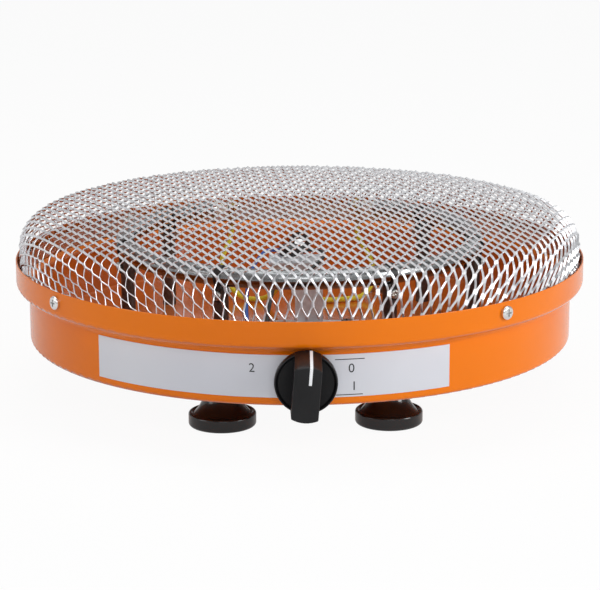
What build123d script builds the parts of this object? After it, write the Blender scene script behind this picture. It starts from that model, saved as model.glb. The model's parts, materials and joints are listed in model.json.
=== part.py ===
from build123d import *
import os
from math import cos, degrees, hypot, radians, sin, sqrt, tan

# A low round electric heater that stands under a quilt-covered table.
# Sizes are in millimetres. Z is up, the feet stand on Z = 0 and the knob faces -Y.
# An azimuth is in degrees seen from above, from the front (-Y) towards +X.

# Clearances
running_gap = 0.05
thread_gap = 0.05
seat_gap = 0.3
hole_gap = 0.3

# Pan: one pressing with a flat floor, a straight wall and a wider collar
sheet = 1.0
rim_radius = 180.0
collar_step = 8.0
pan_height = 52.0
flare_height = 31.0
corner_radius = 3.0
rim_rounding = 0.4

# Feet
foot_height = 32.2
foot_radius = 20.5
foot_lip_height = 8.6
foot_lip_width = 2.8
foot_lip_step = 0.7
foot_lip_rounding = 1.6
foot_neck_radius = 11.0
foot_neck_height = 22.0
foot_seat_radius = 12.5
foot_rounding = 2.0
foot_bolt_radius = 2.5
foot_bolt_grip = 9.0
foot_bolt_head_radius = 4.6
foot_bolt_head_height = 3.4
foot_nut_width = 8.0
foot_nut_height = 4.0
foot_counterbore_depth = 8.0

# Heating ring: a sheathed tube bent to an open circle
ring_radius = 111.0
ring_height = 60.0
tube_radius = 6.0
tube_wall = 0.8
heat_wire_radius = 1.4
ring_turn = 2.0
ring_half_span = 150.0
seal_length = 10.0
seal_tip_radius = 3.8
pin_radius = 2.0
pin_reach = 11.0
pin_depth = 6.0
lug_radius = 5.2
lug_sheet = 1.0
lug_stand_off = 4.0
lug_barrel_length = 8.0

# Posts and clips that carry the ring
post_azimuths = (-130.0, -78.0, -27.0, 27.0, 78.0, 130.0)
post_names = ("left_rear", "left_side", "left_front", "right_front", "right_side", "right_rear")
foot_names = ("left_rear", "left_front", "right_front", "right_rear")
front_post_azimuth = 27.0
post_radius = 4.5
post_screw_grip = 8.0
post_screw_radius = 2.5
post_screw_head_radius = 4.4
post_screw_head_height = 2.6
clip_sheet = 0.8
clip_width = 4.0
clip_leg_drop = 15.0
clip_screw_drop = 11.0
clip_screw_radius = 1.5
clip_head_radius = 2.8
clip_head_height = 1.8
clip_nut_width = 5.5
clip_nut_height = 2.4

# Guard: a dome of expanded metal, drawn here with fewer and larger meshes
guard_sheet = 1.2
guard_crown_height = 83.5
guard_gap = 1.1
guard_shoulder = 16.0
guard_bow_radius = 2200.0
guard_taper = 0.7
mesh_short_way = 21.0
mesh_long_way = 60.0
mesh_strand = 3.0
mesh_border = 27.9
mesh_cut_depth = 20.0
side_mesh_count = 48
side_mesh_width = 17.0
side_mesh_height = 18.0
side_mesh_centre = 64.0
guard_screw_azimuths = (-53.5, 41.9, 126.5, 221.9)
guard_screw_height = 45.6
guard_screw_radius = 2.0
guard_screw_head_radius = 4.2
guard_screw_head_height = 2.6
guard_screw_tail = 2.9
recess_width = 1.0
recess_span = 4.4
recess_depth = 1.3
guard_washer_radius = 5.0
guard_washer_sheet = 0.8
guard_spacer_radius = 3.5
guard_nut_width = 7.0
guard_nut_height = 3.0

# Label on the wall
label_start = -43.4
label_end = 30.2
label_bottom = 5.3
label_top = 30.6
label_sheet = 0.3
label_gap = 0.05

# Rotary switch
switch_azimuth = 1.1
switch_height = 16.6
switch_width = 32.0
switch_tall = 29.0
switch_depth = 20.0
bush_radius = 5.0
bush_reach = 4.5
switch_nut_width = 14.0
switch_nut_height = 2.4
shaft_radius = 3.0
shaft_tail = 14.0
shaft_flat = 1.0
blade_width = 6.3
blade_sheet = 0.8
blade_reach = 8.0
blade_pitch = 9.0
switch_corner = 2.0
diode_radius = 2.6
diode_length = 6.0
diode_lead_radius = 0.6

# Knob
knob_gap = 4.2
knob_radius = 18.2
skirt_depth = 6.5
skirt_dish_depth = 1.4
skirt_rim_width = 1.4
knob_depth = 25.0
bar_width = 15.5
bar_top = 18.0
bar_nose_top = 14.6
bar_bottom = 19.2
bar_nose_bottom = 17.8
knob_rounding = 1.0
knob_recess_radius = 10.5
knob_recess_depth = 5.0
knob_bore_depth = 20.0
pointer_width = 2.4
pointer_depth = 0.8
pointer_length = 12.0

# Bracket near the middle of the floor, with its connector and thermal cut-out
bracket_x = 5.5
bracket_y = 10.0
bracket_sheet = 1.2
bracket_foot_width = 66.0
bracket_foot_depth = 16.0
bracket_screw_spacing = 50.0
bracket_web_x = 6.0
bracket_web_width = 18.0
bracket_height = 42.0
bracket_shelf_x = -3.0
bracket_shelf_width = 34.0
bracket_shelf_depth = 26.0
connector_x = -12.0
connector_width = 14.0
connector_depth = 18.0
connector_height = 15.0
connector_pitch = 7.0
connector_rounding = 1.5
wire_entry = 5.0
cutout_x = -6.0
cutout_radius = 7.0
cutout_height = 6.0
cutout_rounding = 1.0
cutout_cap_radius = 8.2
cutout_cap_height = 2.0
small_screw_radius = 2.0
small_head_radius = 3.8
small_head_height = 2.2
small_nut_width = 7.0
small_nut_height = 3.0

# Cord inlet at the back; the cord itself is not part of the model
inlet_azimuth = 180.0
inlet_height = 20.0
inlet_bore_radius = 3.75
inlet_neck_radius = 6.0
inlet_flange_radius = 8.5
inlet_flange_sheet = 2.5
inlet_tail_radius = 7.5
inlet_tail = 6.0

# Earth screw on the floor
earth_x = 30.0
earth_y = 120.0

# Leads
sleeve_radius = 1.7
lead_radius = 1.2
bend_share = 0.45
plug_run = 10.0
climb_run = 21.2
lift_run = 36.2

# Heights and reaches that follow from the sizes above
floor_top = foot_height + sheet
wall_radius = rim_radius - collar_step
flare = collar_step / 2
ring_level = foot_height + ring_height
tube_seat = ring_level - tube_radius
label_outside = wall_radius + label_gap + label_sheet
knob_back = label_outside + knob_gap
knob_front = knob_back + knob_depth
switch_level = foot_height + switch_height
guard_screw_level = foot_height + guard_screw_height
collar_inside = rim_radius - sheet
guard_radius = collar_inside - guard_gap
guard_foot_radius = guard_radius - guard_taper
mesh_field_radius = guard_radius - mesh_border
guard_inside = guard_foot_radius - guard_sheet
washer_seat = guard_inside - seat_gap - guard_washer_sheet
nut_seat = washer_seat - guard_nut_height
guard_screw_length = rim_radius - nut_seat + guard_screw_tail
axis_y = (knob_front - rim_radius) / 2
drum_axis = Axis((0, axis_y, 0), (0, 0, 1))
ring_start = ring_turn - ring_half_span
ring_end = ring_turn + ring_half_span
foot_azimuths = tuple(
    ring_turn + angle
    for angle in (
        front_post_azimuth - 180,
        -front_post_azimuth,
        front_post_azimuth,
        180 - front_post_azimuth,
    )
)
rear_foot_azimuths = (foot_azimuths[0], foot_azimuths[3])
other_posts = [ring_turn + angle for angle in post_azimuths if abs(angle) != front_post_azimuth]


def spot(azimuth, radius, height=0.0):
    """A point at an azimuth and a distance from the drum's axis."""
    angle = radians(azimuth)
    return Vector(radius * sin(angle), axis_y - radius * cos(angle), height)


def level(height):
    """A horizontal plane centred on the drum's axis."""
    return Plane((0, axis_y, height))


def upright(azimuth):
    """A vertical plane through the drum's axis: X runs outward and Y is the height."""
    angle = radians(azimuth)
    return Plane(
        origin=(0, axis_y, 0),
        x_dir=(sin(angle), -cos(angle), 0),
        z_dir=(-cos(angle), -sin(angle), 0),
    )


def outward(azimuth, reach, height):
    """A plane that faces away from the drum's axis: X is sideways and Y is up."""
    angle = radians(azimuth)
    return Plane(
        origin=spot(azimuth, reach, height),
        x_dir=(cos(angle), sin(angle), 0),
        z_dir=(sin(angle), -cos(angle), 0),
    )


def at_switch(reach):
    """A plane across the switch's shaft, at a distance from the drum's axis."""
    return outward(switch_azimuth, reach, switch_level)


def ring_mouth(azimuth, side):
    """The plane of one end of the ring, facing out of the tube; its Y is up."""
    end = upright(azimuth)
    return Plane(spot(azimuth, ring_radius, ring_level), end.x_dir * side, end.z_dir * side)


def at(x, y, z):
    """A point measured from the drum's axis and from the underside of the pan."""
    return (x, axis_y + y, foot_height + z)


def round_screw(shank_radius, length, head_radius, head_height, cross=True):
    """A pan-head screw: the head stands on the plane and the shank points back from it."""
    with BuildPart() as screw:
        Cylinder(head_radius, head_height, align=(Align.CENTER, Align.CENTER, Align.MIN))
        crown = screw.edges().filter_by(GeomType.CIRCLE).sort_by(Axis.Z)[-1]
        fillet(crown, head_height / 2)
        if cross:
            with BuildSketch(Plane.XY.offset(head_height)):
                Rectangle(recess_span, recess_width)
                Rectangle(recess_width, recess_span)
            extrude(amount=-recess_depth, mode=Mode.SUBTRACT)
        Cylinder(shank_radius, length, align=(Align.CENTER, Align.CENTER, Align.MAX))
    return screw.part


def hex_nut(width, height, bore_radius):
    """A hexagon nut that stands on the plane."""
    with BuildPart() as nut:
        with BuildSketch():
            RegularPolygon(width / 2, 6, major_radius=False)
            Circle(bore_radius, mode=Mode.SUBTRACT)
        extrude(amount=height)
    return nut.part


def bend_radii(route):
    """The largest bend that each corner of a route leaves room for."""
    radii = []
    for before, corner, after in zip(route, route[1:], route[2:]):
        arriving = Vector(*corner) - Vector(*before)
        leaving = Vector(*after) - Vector(*corner)
        half_turn = radians(arriving.get_angle(leaving)) / 2
        radii.append(bend_share * min(arriving.length, leaving.length) / tan(half_turn))
    return radii


def lead(route, radius):
    """A round lead along straight runs joined by arcs."""
    radii = bend_radii(route)
    with BuildPart() as tube:
        with BuildLine() as path:
            FilletPolyline(*route, radius=radii)
        course = path.wire()
        with BuildSketch(Plane(origin=course @ 0, z_dir=course % 0)):
            Circle(radius)
        sweep(path=course)
    print(f"lead {course.length:.0f} long, tightest bend {min(radii):.1f}")
    return tube.part


# Pan
with BuildPart() as pan:
    with BuildSketch(upright(0)):
        with BuildLine():
            wall_foot = foot_height + corner_radius
            wall_top = foot_height + flare_height
            Line((0, foot_height), (wall_radius - corner_radius, foot_height))
            CenterArc((wall_radius - corner_radius, wall_foot), corner_radius, -90, 90)
            Line((wall_radius, wall_foot), (wall_radius, wall_top))
            CenterArc((wall_radius + flare, wall_top), flare, 180, -90)
            CenterArc((wall_radius + flare, wall_top + 2 * flare), flare, -90, 90)
            Line((rim_radius, wall_top + 2 * flare), (rim_radius, foot_height + pan_height))
            offset(amount=sheet, side=Side.LEFT)
        make_face()
    revolve(axis=drum_axis)
    rim_edges = pan.edges().filter_by(GeomType.CIRCLE).group_by(Axis.Z)[-1]
    fillet(rim_edges, rim_rounding)
    with Locations(*[spot(angle, ring_radius, floor_top) for angle in foot_azimuths]):
        Hole(foot_bolt_radius + hole_gap, depth=2 * sheet)
    with Locations(*[spot(angle, ring_radius, floor_top) for angle in other_posts]):
        Hole(post_screw_radius + hole_gap, depth=2 * sheet)
    with Locations((bracket_x, axis_y + bracket_y, floor_top)):
        with GridLocations(bracket_screw_spacing, 1, 2, 1):
            Hole(small_screw_radius + hole_gap, depth=2 * sheet)
    with Locations((earth_x, axis_y + earth_y, floor_top)):
        Hole(small_screw_radius + hole_gap, depth=2 * sheet)
    with BuildSketch(outward(switch_azimuth, wall_radius + sheet, switch_level)):
        Circle(bush_radius + hole_gap)
    extrude(amount=-3 * sheet, mode=Mode.SUBTRACT)
    with BuildSketch(outward(inlet_azimuth, wall_radius + sheet, foot_height + inlet_height)):
        Circle(inlet_neck_radius + hole_gap)
    extrude(amount=-3 * sheet, mode=Mode.SUBTRACT)
    for azimuth in guard_screw_azimuths:
        with BuildSketch(outward(azimuth, rim_radius + sheet, guard_screw_level)):
            Circle(guard_screw_radius + hole_gap)
        extrude(amount=-3 * sheet, mode=Mode.SUBTRACT)

# Guard
bow_centre = foot_height + guard_crown_height - guard_bow_radius
shoulder_x = guard_radius - guard_shoulder
shoulder_rise = sqrt((guard_bow_radius - guard_shoulder) ** 2 - shoulder_x**2)
shoulder_z = bow_centre + shoulder_rise
bow_share = guard_bow_radius / (guard_bow_radius - guard_shoulder)
bow_end = (shoulder_x * bow_share, bow_centre + shoulder_rise * bow_share)
flare_floor = foot_height + flare_height + flare + sheet
guard_foot = flare_floor + 2 * seat_gap
crown_level = foot_height + guard_crown_height
side_level = foot_height + side_mesh_centre
side_planes = [
    outward(number * 360 / side_mesh_count, guard_radius + sheet, side_level)
    for number in range(side_mesh_count)
]
guard_screw_planes = [
    outward(azimuth, rim_radius + sheet, guard_screw_level) for azimuth in guard_screw_azimuths
]
with BuildPart() as side_cutter:
    with BuildSketch():
        half_wide = side_mesh_width / 2
        half_tall = side_mesh_height / 2
        Polygon((-half_wide, 0), (0, -half_tall), (half_wide, 0), (0, half_tall))
    extrude(amount=-guard_shoulder / 2)
side_mesh = side_cutter.part
with BuildPart() as guard:
    with BuildSketch(upright(0)):
        with BuildLine():
            RadiusArc((0, crown_level), bow_end, guard_bow_radius)
            RadiusArc(bow_end, (guard_radius, shoulder_z), guard_shoulder)
            Line((guard_radius, shoulder_z), (guard_foot_radius, guard_foot))
            offset(amount=guard_sheet, side=Side.RIGHT)
        make_face()
    revolve(axis=drum_axis)
    half_short = (mesh_short_way - mesh_strand) / 2
    half_long = half_short * mesh_long_way / mesh_short_way
    columns = int(mesh_field_radius / mesh_short_way) + 1
    rows = int(mesh_field_radius / mesh_long_way) + 1
    cells = [
        ((i + shift) * mesh_short_way, (j + shift) * mesh_long_way)
        for shift in (0, 0.5)
        for i in range(-columns, columns)
        for j in range(-rows, rows)
    ]
    field = [cell for cell in cells if hypot(*cell) + half_long / 2 < mesh_field_radius]
    with BuildSketch(level(crown_level + guard_sheet)):
        with Locations(*field):
            Polygon((-half_short, 0), (0, -half_long), (half_short, 0), (0, half_long))
    extrude(amount=-mesh_cut_depth, mode=Mode.SUBTRACT)
    with Locations(*side_planes):
        add(side_mesh, mode=Mode.SUBTRACT)
    with Locations(*guard_screw_planes):
        Hole(guard_screw_radius + hole_gap, depth=guard_shoulder)

# Guard fasteners
guard_screw = round_screw(
    guard_screw_radius, guard_screw_length, guard_screw_head_radius, guard_screw_head_height
)
screw_seats = [outward(a, rim_radius, guard_screw_level) for a in guard_screw_azimuths]
with BuildPart() as guard_screws:
    with Locations(*screw_seats):
        add(guard_screw)

with BuildPart() as guard_washers:
    for azimuth in guard_screw_azimuths:
        with BuildSketch(outward(azimuth, washer_seat, guard_screw_level)):
            Circle(guard_washer_radius)
            Circle(guard_screw_radius + thread_gap, mode=Mode.SUBTRACT)
        extrude(amount=guard_washer_sheet)

guard_nut = hex_nut(guard_nut_width, guard_nut_height, guard_screw_radius + thread_gap)
with BuildPart() as guard_nuts:
    with Locations(*[outward(a, nut_seat, guard_screw_level) for a in guard_screw_azimuths]):
        add(guard_nut)

spacer_depth = collar_inside - guard_radius - seat_gap
with BuildPart() as guard_spacers:
    for azimuth in guard_screw_azimuths:
        with BuildSketch(outward(azimuth, guard_radius + seat_gap / 2, guard_screw_level)):
            Circle(guard_spacer_radius)
            Circle(guard_screw_radius + thread_gap, mode=Mode.SUBTRACT)
        extrude(amount=spacer_depth)

# Feet
feet = {}
for name, azimuth in zip(foot_names, foot_azimuths):
    centre = spot(azimuth, ring_radius)
    with BuildPart() as foot:
        with BuildSketch(Plane(origin=centre, x_dir=(1, 0, 0), z_dir=(0, -1, 0))):
            with BuildLine():
                neck = (foot_neck_radius, foot_neck_height)
                lip_inside = (foot_radius - foot_lip_width, foot_lip_height - foot_lip_step)
                lip_top = (foot_radius - foot_lip_rounding, foot_lip_height)
                lip_side = (foot_radius, foot_lip_height - foot_lip_rounding)
                sole_side = (foot_radius, foot_rounding)
                sole_edge = (foot_radius - foot_rounding, 0)
                Polyline(sole_edge, (0, 0), (0, foot_height), (foot_seat_radius, foot_height), neck)
                TangentArc(neck, lip_inside, tangent=(0, -1))
                Line(lip_inside, lip_top)
                RadiusArc(lip_top, lip_side, foot_lip_rounding)
                Line(lip_side, sole_side)
                RadiusArc(sole_side, sole_edge, foot_rounding)
            make_face()
        revolve(axis=Axis(centre, (0, 0, 1)))
        with Locations(centre + Vector(0, 0, foot_height)):
            Hole(foot_bolt_radius + hole_gap, depth=foot_height)
        with Locations(centre + Vector(0, 0, foot_counterbore_depth)):
            Hole(foot_bolt_head_radius + hole_gap, depth=foot_counterbore_depth)
    feet[name] = foot

foot_bolt_length = foot_height - foot_counterbore_depth + sheet + foot_bolt_grip
foot_bolt = round_screw(
    foot_bolt_radius, foot_bolt_length, foot_bolt_head_radius, foot_bolt_head_height
)
with BuildPart() as foot_bolts:
    for azimuth in foot_azimuths:
        with Locations(Plane(spot(azimuth, ring_radius, foot_counterbore_depth), z_dir=(0, 0, -1))):
            add(foot_bolt)

rear_foot_spots = [spot(azimuth, ring_radius, floor_top) for azimuth in rear_foot_azimuths]
with BuildPart() as foot_nuts:
    with Locations(*rear_foot_spots):
        add(hex_nut(foot_nut_width, foot_nut_height, foot_bolt_radius + thread_gap))

# Posts under the ring
post_top = tube_seat - clip_sheet
screw_level = ring_level - clip_screw_drop
posts = {}
for name, angle in zip(post_names, post_azimuths):
    azimuth = ring_turn + angle
    on_foot = abs(angle) == front_post_azimuth
    grip = foot_bolt_grip if on_foot else post_screw_grip
    bore = foot_bolt_radius if on_foot else post_screw_radius
    with BuildPart() as post:
        with Locations(spot(azimuth, ring_radius, floor_top)):
            Cylinder(
                post_radius,
                post_top - floor_top,
                align=(Align.CENTER, Align.CENTER, Align.MIN),
            )
        with Locations(spot(azimuth, ring_radius, floor_top + grip + seat_gap)):
            Hole(bore + thread_gap, depth=grip + seat_gap)
        with BuildSketch(outward(azimuth, ring_radius, screw_level)):
            Circle(clip_screw_radius + thread_gap)
        extrude(amount=2 * post_radius, both=True, mode=Mode.SUBTRACT)
        chamfer(post.edges().group_by(Axis.Z)[-1], clip_sheet / 2)
    posts[name] = post

floor_screw = round_screw(
    post_screw_radius,
    sheet + post_screw_grip,
    post_screw_head_radius,
    post_screw_head_height,
)
with BuildPart() as post_screws:
    for azimuth in other_posts:
        with Locations(Plane(spot(azimuth, ring_radius, foot_height), z_dir=(0, 0, -1))):
            add(floor_screw)

# Clips: a strap over the tube with a leg on each side of the post
clip_inside = tube_radius + running_gap
clip_outside = clip_inside + clip_sheet
leg_inside = post_radius + running_gap
leg_outside = leg_inside + clip_sheet
leg_start = sqrt(clip_inside**2 - leg_inside**2)
clips = {}
for name, angle in zip(post_names, post_azimuths):
    azimuth = ring_turn + angle
    with BuildPart() as clip:
        with BuildSketch(upright(azimuth)):
            with Locations((ring_radius, ring_level)):
                Circle(clip_outside)
            with Locations((ring_radius, ring_level - leg_start)):
                Rectangle(2 * leg_outside, clip_leg_drop - leg_start, align=(Align.CENTER, Align.MAX))
                Rectangle(
                    2 * leg_inside,
                    clip_leg_drop,
                    align=(Align.CENTER, Align.MAX),
                    mode=Mode.SUBTRACT,
                )
            with Locations((ring_radius, ring_level)):
                Circle(clip_inside, mode=Mode.SUBTRACT)
        extrude(amount=clip_width / 2, both=True)
        with BuildSketch(outward(azimuth, ring_radius, screw_level)):
            Circle(clip_screw_radius + thread_gap)
        extrude(amount=2 * clip_outside, both=True, mode=Mode.SUBTRACT)
    clips[name] = clip

clip_screw = round_screw(
    clip_screw_radius,
    2 * leg_outside + clip_nut_height,
    clip_head_radius,
    clip_head_height,
)
with BuildPart() as clip_screws:
    for angle in post_azimuths:
        with Locations(outward(ring_turn + angle, ring_radius + leg_outside, screw_level)):
            add(clip_screw)

clip_nut = hex_nut(clip_nut_width, clip_nut_height, clip_screw_radius + thread_gap)
clip_nut_reach = ring_radius - leg_outside - clip_nut_height
with BuildPart() as clip_nuts:
    for angle in post_azimuths:
        with Locations(outward(ring_turn + angle, clip_nut_reach, screw_level)):
            add(clip_nut)

# Heating ring: sheath, filling and heating wire, then what closes its two ends
ring_span = ring_end - ring_start
mouths = (ring_mouth(ring_start, 1), ring_mouth(ring_end, -1))
wire_trim = degrees(pin_depth / ring_radius)
with BuildPart() as ring_sheath:
    with BuildSketch(upright(ring_start)):
        with Locations((ring_radius, ring_level)):
            Circle(tube_radius)
            Circle(tube_radius - tube_wall, mode=Mode.SUBTRACT)
    revolve(axis=drum_axis, revolution_arc=ring_span)

filling_radius = tube_radius - tube_wall - running_gap
with BuildPart() as ring_filling:
    with BuildSketch(upright(ring_start + wire_trim)):
        with Locations((ring_radius, ring_level)):
            Circle(filling_radius)
            Circle(heat_wire_radius + running_gap, mode=Mode.SUBTRACT)
    revolve(axis=drum_axis, revolution_arc=ring_span - 2 * wire_trim)

with BuildPart() as heat_wire:
    with BuildSketch(upright(ring_start + wire_trim)):
        with Locations((ring_radius, ring_level)):
            Circle(heat_wire_radius)
    revolve(axis=drum_axis, revolution_arc=ring_span - 2 * wire_trim)

with BuildPart() as ring_seals:
    for mouth in mouths:
        with BuildSketch(mouth):
            Circle(tube_radius - running_gap)
        with BuildSketch(mouth.offset(seal_length)):
            Circle(seal_tip_radius)
        loft()
        with BuildSketch(mouth.offset(seal_length)):
            Circle(pin_radius + thread_gap)
        extrude(amount=-seal_length, mode=Mode.SUBTRACT)

with BuildPart() as ring_pins:
    for mouth in mouths:
        with BuildSketch(mouth.offset(seat_gap - pin_depth)):
            Circle(pin_radius)
        extrude(amount=pin_depth - seat_gap + seal_length + pin_reach)

lug_start = seal_length + lug_stand_off
with BuildPart() as lead_lugs:
    for mouth in mouths:
        with BuildSketch(mouth.offset(lug_start)):
            Circle(lug_radius)
            Circle(pin_radius + thread_gap, mode=Mode.SUBTRACT)
        extrude(amount=lug_sheet)
        lug_middle = mouth.offset(lug_start + lug_sheet / 2).origin
        barrel_top = lug_middle - Vector(0, 0, lug_radius - lug_sheet)
        with Locations(barrel_top):
            Cylinder(
                sleeve_radius + lug_sheet / 2,
                lug_barrel_length,
                align=(Align.CENTER, Align.CENTER, Align.MAX),
            )
lug_drop = lug_radius - lug_sheet + lug_barrel_length

pin_nut = hex_nut(small_nut_width, small_nut_height, pin_radius + thread_gap)
with BuildPart() as pin_nuts:
    with Locations(*[mouth.offset(lug_start + lug_sheet) for mouth in mouths]):
        add(pin_nut)
    with Locations(*[mouth.offset(lug_start - small_nut_height) for mouth in mouths]):
        add(pin_nut)

# Label
with BuildPart() as front_label:
    with BuildSketch(upright(label_start)):
        with Locations((wall_radius + label_gap, foot_height + label_bottom)):
            Rectangle(label_sheet, label_top - label_bottom, align=(Align.MIN, Align.MIN))
    revolve(axis=drum_axis, revolution_arc=label_end - label_start)
    with Locations(outward(switch_azimuth, wall_radius + sheet, switch_level)):
        Hole(bush_radius + hole_gap, depth=2 * sheet)

# Rotary switch, held by a nut on the bush that passes through the wall and the label
wall_inside = wall_radius - sheet
switch_face = sqrt(wall_inside**2 - (switch_width / 2) ** 2) - running_gap
switch_rear = switch_face - switch_depth
bush_end = label_outside + bush_reach
blade_tip = switch_rear - blade_reach
shaft_start = switch_face - shaft_tail
shaft_end = knob_back + knob_bore_depth - seat_gap
flat_start = knob_back + knob_recess_depth
skirt_front = knob_back + skirt_depth
knob_line = Axis(spot(switch_azimuth, 0, switch_level), outward(switch_azimuth, 0, 0).z_dir)

with BuildPart() as rotary_switch:
    with BuildSketch(at_switch(switch_face)):
        RectangleRounded(switch_width, switch_tall, switch_corner)
    extrude(amount=-switch_depth)
    with BuildSketch(at_switch(switch_face)):
        Circle(bush_radius)
    extrude(amount=bush_end - switch_face)
    with BuildSketch(at_switch(bush_end)):
        Circle(shaft_radius + running_gap)
    extrude(amount=shaft_start - running_gap - bush_end, mode=Mode.SUBTRACT)

with BuildPart() as switch_nut:
    with Locations(at_switch(label_outside + running_gap)):
        add(hex_nut(switch_nut_width, switch_nut_height, bush_radius + thread_gap))

with BuildPart() as switch_blades:
    with BuildSketch(at_switch(switch_rear)):
        with GridLocations(blade_pitch, 1, 3, 1):
            Rectangle(blade_sheet, blade_width)
    extrude(amount=-blade_reach)

blade_space = blade_pitch - blade_sheet
sideways = at_switch(0).x_dir
diode_centre = at_switch(blade_tip + diode_radius).origin + sideways * (blade_pitch / 2)
with BuildPart() as low_heat_diode:
    with BuildSketch(Plane(diode_centre, z_dir=sideways)):
        Circle(diode_lead_radius)
    extrude(amount=blade_space / 2, both=True)
    with BuildSketch(Plane(diode_centre, z_dir=sideways)):
        Circle(diode_radius)
    extrude(amount=diode_length / 2, both=True)

# Knob, its shaft and its pointer
with BuildPart() as switch_shaft:
    with BuildSketch(at_switch(shaft_start)):
        Circle(shaft_radius)
    extrude(amount=flat_start - shaft_start)
    with BuildSketch(at_switch(flat_start)):
        Circle(shaft_radius)
        with Locations((0, shaft_radius - shaft_flat)):
            Rectangle(
                2 * shaft_radius,
                shaft_radius,
                align=(Align.CENTER, Align.MIN),
                mode=Mode.SUBTRACT,
            )
    extrude(amount=shaft_end - flat_start)

bar_start = skirt_front - skirt_dish_depth
nose = (knob_front, switch_level + bar_nose_top)
shoulder = (bar_start, switch_level + bar_top)
pointer_end = (knob_front, nose[1] - pointer_length)
with BuildPart() as pointer:
    with BuildSketch(upright(switch_azimuth)):
        with BuildLine():
            Polyline(shoulder, nose, pointer_end)
            offset(amount=pointer_depth, side=Side.RIGHT)
        make_face()
    extrude(amount=pointer_width / 2, both=True)

with BuildPart() as knob:
    with BuildSketch(at_switch(knob_back)):
        Circle(knob_radius)
    extrude(amount=skirt_depth)
    with BuildSketch(at_switch(skirt_front)):
        Circle(knob_radius - skirt_rim_width)
    extrude(amount=-skirt_dish_depth, mode=Mode.SUBTRACT)
    with BuildSketch(upright(switch_azimuth)):
        with BuildLine():
            Polyline(
                shoulder,
                nose,
                (knob_front, switch_level - bar_nose_bottom),
                (bar_start, switch_level - bar_bottom),
                close=True,
            )
        make_face()
    extrude(amount=bar_width / 2, both=True)
    fillet(knob.faces().sort_by(knob_line)[-1].edges(), knob_rounding)
    with BuildSketch(at_switch(knob_back)):
        Circle(knob_recess_radius)
    extrude(amount=knob_recess_depth, mode=Mode.SUBTRACT)
    with BuildSketch(at_switch(knob_back)):
        Circle(shaft_radius + running_gap)
        with Locations((0, shaft_radius - shaft_flat + running_gap)):
            Rectangle(
                2 * (shaft_radius + running_gap),
                shaft_radius,
                align=(Align.CENTER, Align.MIN),
                mode=Mode.SUBTRACT,
            )
    extrude(amount=knob_bore_depth, mode=Mode.SUBTRACT)
    add(pointer.part, mode=Mode.SUBTRACT)

# Bracket, connector and thermal cut-out
low = (Align.CENTER, Align.MIN, Align.MIN)
flat = (Align.CENTER, Align.CENTER, Align.MIN)
with BuildPart() as wiring_bracket:
    with Locations(at(bracket_x, bracket_y, sheet)):
        Box(bracket_foot_width, bracket_foot_depth, bracket_sheet, align=flat)
        with GridLocations(bracket_screw_spacing, 1, 2, 1):
            Cylinder(small_screw_radius + hole_gap, 2 * bracket_sheet, mode=Mode.SUBTRACT)
    with Locations(at(bracket_web_x, bracket_y, sheet)):
        Box(bracket_web_width, bracket_sheet, bracket_height - sheet, align=low)
    with Locations(at(bracket_shelf_x, bracket_y, bracket_height - bracket_sheet)):
        Box(bracket_shelf_width, bracket_shelf_depth, bracket_sheet, align=low)

bracket_screw = round_screw(
    small_screw_radius,
    bracket_sheet + sheet + small_nut_height + seat_gap,
    small_head_radius,
    small_head_height,
)
small_nut = hex_nut(small_nut_width, small_nut_height, small_screw_radius + thread_gap)
with BuildPart() as bracket_screws:
    with Locations(at(bracket_x, bracket_y, sheet + bracket_sheet)):
        with GridLocations(bracket_screw_spacing, 1, 2, 1):
            add(bracket_screw)
with BuildPart() as bracket_nuts:
    with Locations(at(bracket_x, bracket_y, -small_nut_height)):
        with GridLocations(bracket_screw_spacing, 1, 2, 1):
            add(small_nut)

with BuildPart() as earth_screw:
    with Locations(at(earth_x, earth_y, sheet)):
        add(
            round_screw(
                small_screw_radius,
                sheet + small_nut_height + seat_gap,
                small_head_radius,
                small_head_height,
            )
        )
with BuildPart() as earth_nut:
    with Locations(at(earth_x, earth_y, -small_nut_height)):
        add(small_nut)

shelf_under = bracket_height - bracket_sheet
connector_front = bracket_y + bracket_sheet + (bracket_shelf_depth - connector_depth) / 2
connector_back = connector_front + connector_depth
wire_level = shelf_under - connector_height / 2
with BuildPart() as connector:
    with Locations(at(connector_x, connector_front, shelf_under - connector_height)):
        Box(connector_width, connector_depth, connector_height, align=low)
    fillet(connector.edges().filter_by(Axis.Z), connector_rounding)
    for y in (connector_front, connector_back):
        with Locations(at(connector_x, y, wire_level)):
            with GridLocations(connector_pitch, 1, 2, 1):
                Cylinder(
                    sleeve_radius + hole_gap,
                    2 * wire_entry,
                    rotation=(90, 0, 0),
                    mode=Mode.SUBTRACT,
                )

cutout_y = bracket_y + bracket_shelf_depth - cutout_cap_radius - bracket_sheet
with BuildPart() as cutout_cap:
    with Locations(at(cutout_x, cutout_y, bracket_height)):
        Cylinder(cutout_cap_radius, cutout_cap_height, align=flat)
with BuildPart() as thermal_cutout:
    with Locations(at(cutout_x, cutout_y, bracket_height + cutout_cap_height)):
        Cylinder(cutout_radius, cutout_height, align=flat)
    cutout_rim = thermal_cutout.edges().filter_by(GeomType.CIRCLE).sort_by(Axis.Z)[-1]
    fillet(cutout_rim, cutout_rounding)
cutout_level = bracket_height + cutout_cap_height + cutout_height / 2

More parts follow.
